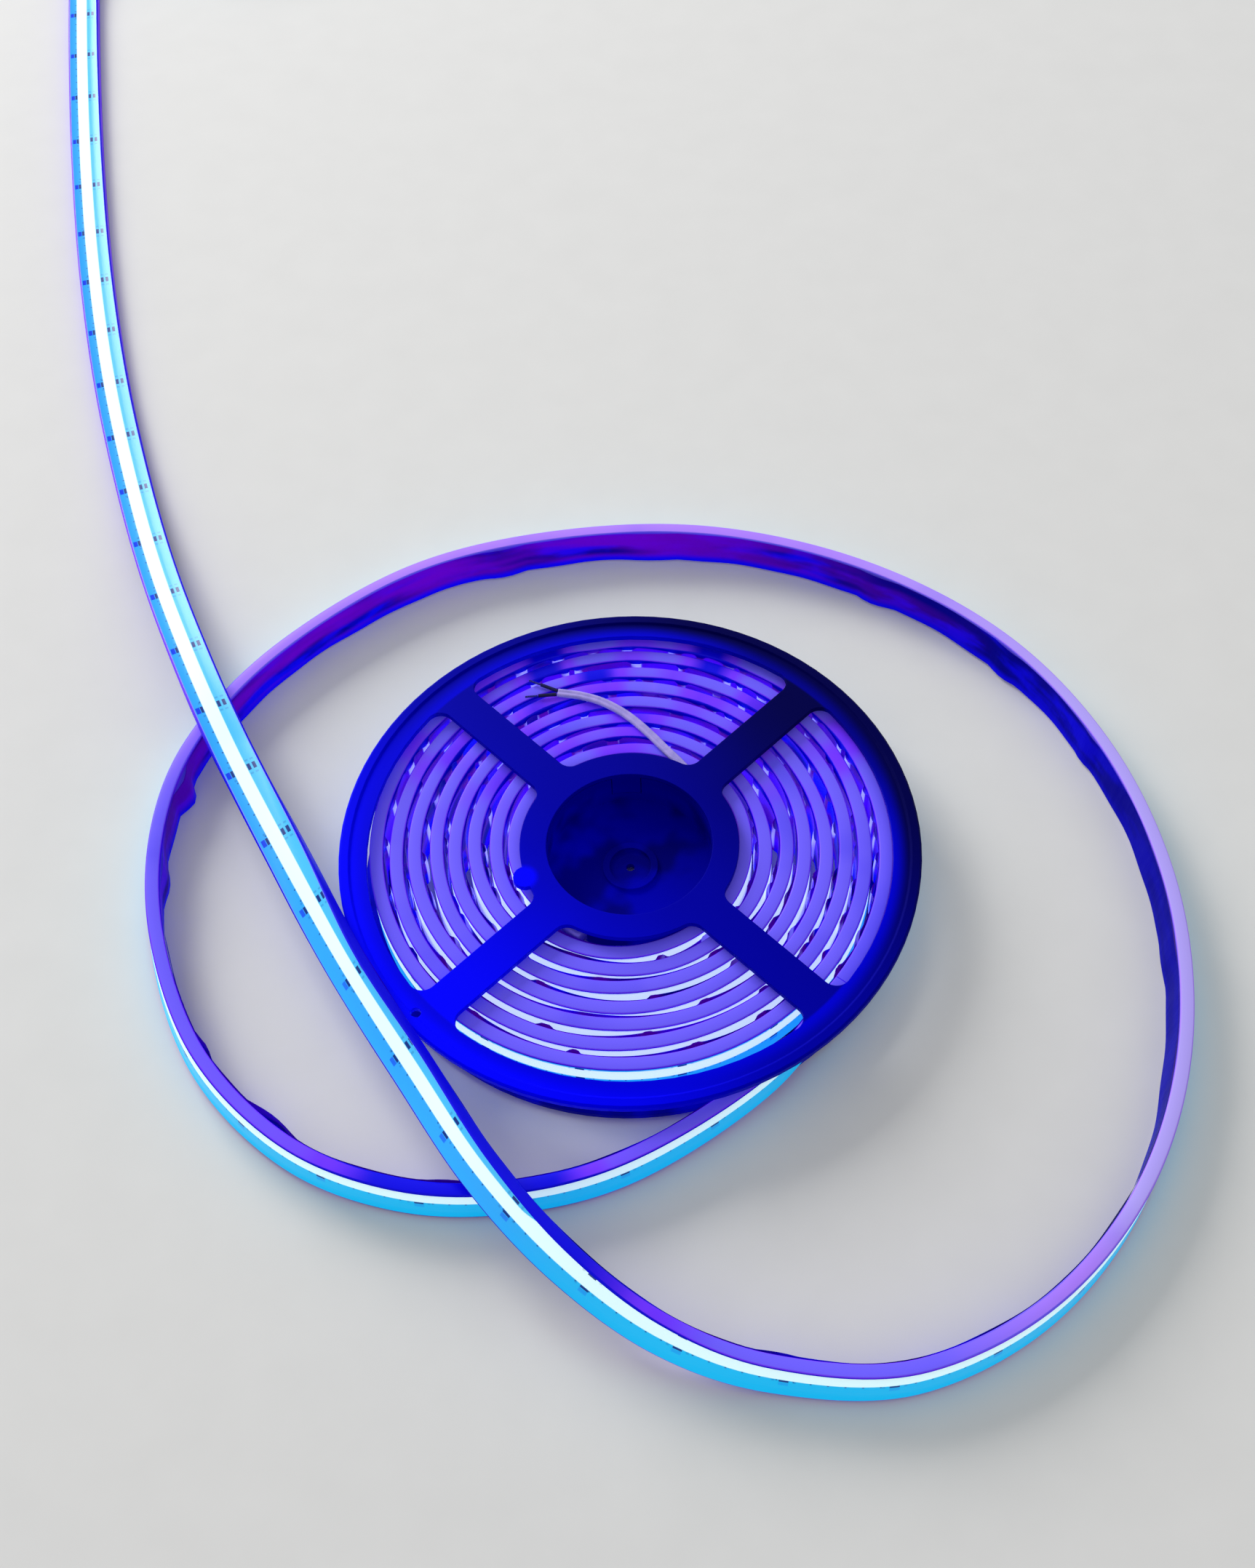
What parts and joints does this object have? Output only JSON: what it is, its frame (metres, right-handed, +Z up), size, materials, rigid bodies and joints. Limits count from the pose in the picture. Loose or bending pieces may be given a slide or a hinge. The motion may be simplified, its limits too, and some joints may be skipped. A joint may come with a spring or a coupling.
{
  "type": "led strip light reel",
  "caption": "Snap-together reel holding a wound flexible light strip in a silicone sleeve, with one stretch led off it in a loop and a short lead at each end.",
  "frame": {"origin": "centre of the reel's underside, on the table", "axes": "+Z up along the reel's axis; +X to the right and +Y away, as the picture shows it"},
  "size_m": [0.4007, 0.796, 0.0266],
  "materials": {
    "reel_plastic": "satin",
    "sleeve": "satin",
    "cap_silicone": "satin",
    "lead_sheath": "satin",
    "core_jacket": "satin",
    "tinned_copper": "bright"
  },
  "bodies": {
    "root": {"reel_base": "reel_plastic", "reel_lid": "reel_plastic", "wound_strip": "sleeve", "free_strip": "sleeve", "inner_end_cap": "cap_silicone", "outer_end_cap": "cap_silicone", "inner_lead": "lead_sheath", "outer_lead": "lead_sheath", "inner_core_positive": "core_jacket", "inner_core_negative": "core_jacket", "outer_core_positive": "core_jacket", "outer_core_negative": "core_jacket", "inner_tip_positive": "tinned_copper", "inner_tip_negative": "tinned_copper", "outer_tip_positive": "tinned_copper", "outer_tip_negative": "tinned_copper"}
  },
  "joints": []
}
